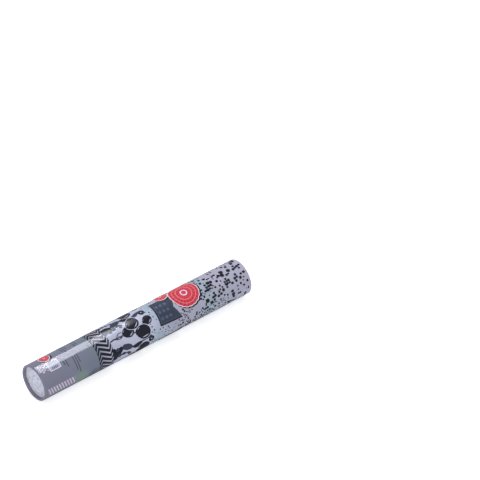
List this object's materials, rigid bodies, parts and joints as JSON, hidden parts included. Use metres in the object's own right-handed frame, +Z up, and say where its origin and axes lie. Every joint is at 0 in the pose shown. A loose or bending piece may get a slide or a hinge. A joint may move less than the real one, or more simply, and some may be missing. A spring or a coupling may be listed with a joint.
{
  "type": "confetti popper",
  "caption": "Hand-held twist-release confetti popper: a printed cardboard barrel on a twist grip with an air bottle, stopper, wad, foil slips and a foil-faced closure.",
  "frame": {"origin": "on the surface that the popper lies on, below the middle of the tube's length", "axes": "+X along the tube from the base to the muzzle, +Y to the left seen from the base, +Z up"},
  "size_m": [0.3, 0.0446, 0.0447],
  "materials": {
    "tube_board": "matte",
    "barrel_print": "gloss",
    "grip_print": "gloss",
    "grey_plastic": "satin",
    "white_plastic": "satin",
    "orange_plastic": "satin",
    "red_plastic": "satin",
    "bottle_metal": "satin",
    "black_rubber": "matte",
    "grey_foam": "matte",
    "foil_slips": "gloss",
    "closure_foil": "gloss"
  },
  "bodies": {
    "barrel": {"barrel_tube": "tube_board", "barrel_label": "barrel_print", "coupling_sleeve": "grey_plastic", "cam_ring": "white_plastic", "gas_plate": "white_plastic"},
    "grip": {"grip_tube": "tube_board", "grip_label": "grip_print", "base_plug": "white_plastic", "bottle_pad": "grey_foam", "air_bottle": "bottle_metal", "fill_plug": "black_rubber", "centring_ring": "tube_board", "retaining_ring": "white_plastic", "valve_seat": "white_plastic", "seat_gasket": "black_rubber", "crimp_ferrule": "bottle_metal", "driver_collar": "orange_plastic"},
    "stopper": {"stopper": "red_plastic", "stopper_o_rings": "black_rubber"},
    "wad": {"wad_foam": "grey_foam", "wad_board": "tube_board"},
    "confetti": {"confetti_slips": "foil_slips"},
    "closure": {"closure_cup": "tube_board", "closure_foil": "closure_foil"}
  },
  "joints": [
    {"name": "grip_twist", "type": "hinge", "parent": "barrel", "child": "grip", "pos_m": [-0.073, 0, 0.02235], "axis": [1, 0, 0], "range_deg": [0, 120]},
    {"name": "stopper_lift", "type": "slide", "parent": "grip", "child": "stopper", "axis": [1, 0, 0], "range_m": [0, 0.007]},
    {"name": "wad_travel", "type": "slide", "parent": "barrel", "child": "wad", "axis": [1, 0, 0], "range_m": [0, 0.186]},
    {"name": "confetti_throw", "type": "slide", "parent": "barrel", "child": "confetti", "axis": [1, 0, 0], "range_m": [0, 0.2418]},
    {"name": "closure_throw", "type": "slide", "parent": "barrel", "child": "closure", "axis": [1, 0, 0], "range_m": [0, 0.2976]}
  ],
  "couplings": [
    {"joint": "stopper_lift", "follows": "grip_twist", "m_per_rad": 0.003342},
    {"joint": "confetti_throw", "follows": "wad_travel", "ratio": 1.3},
    {"joint": "closure_throw", "follows": "wad_travel", "ratio": 1.6}
  ]
}
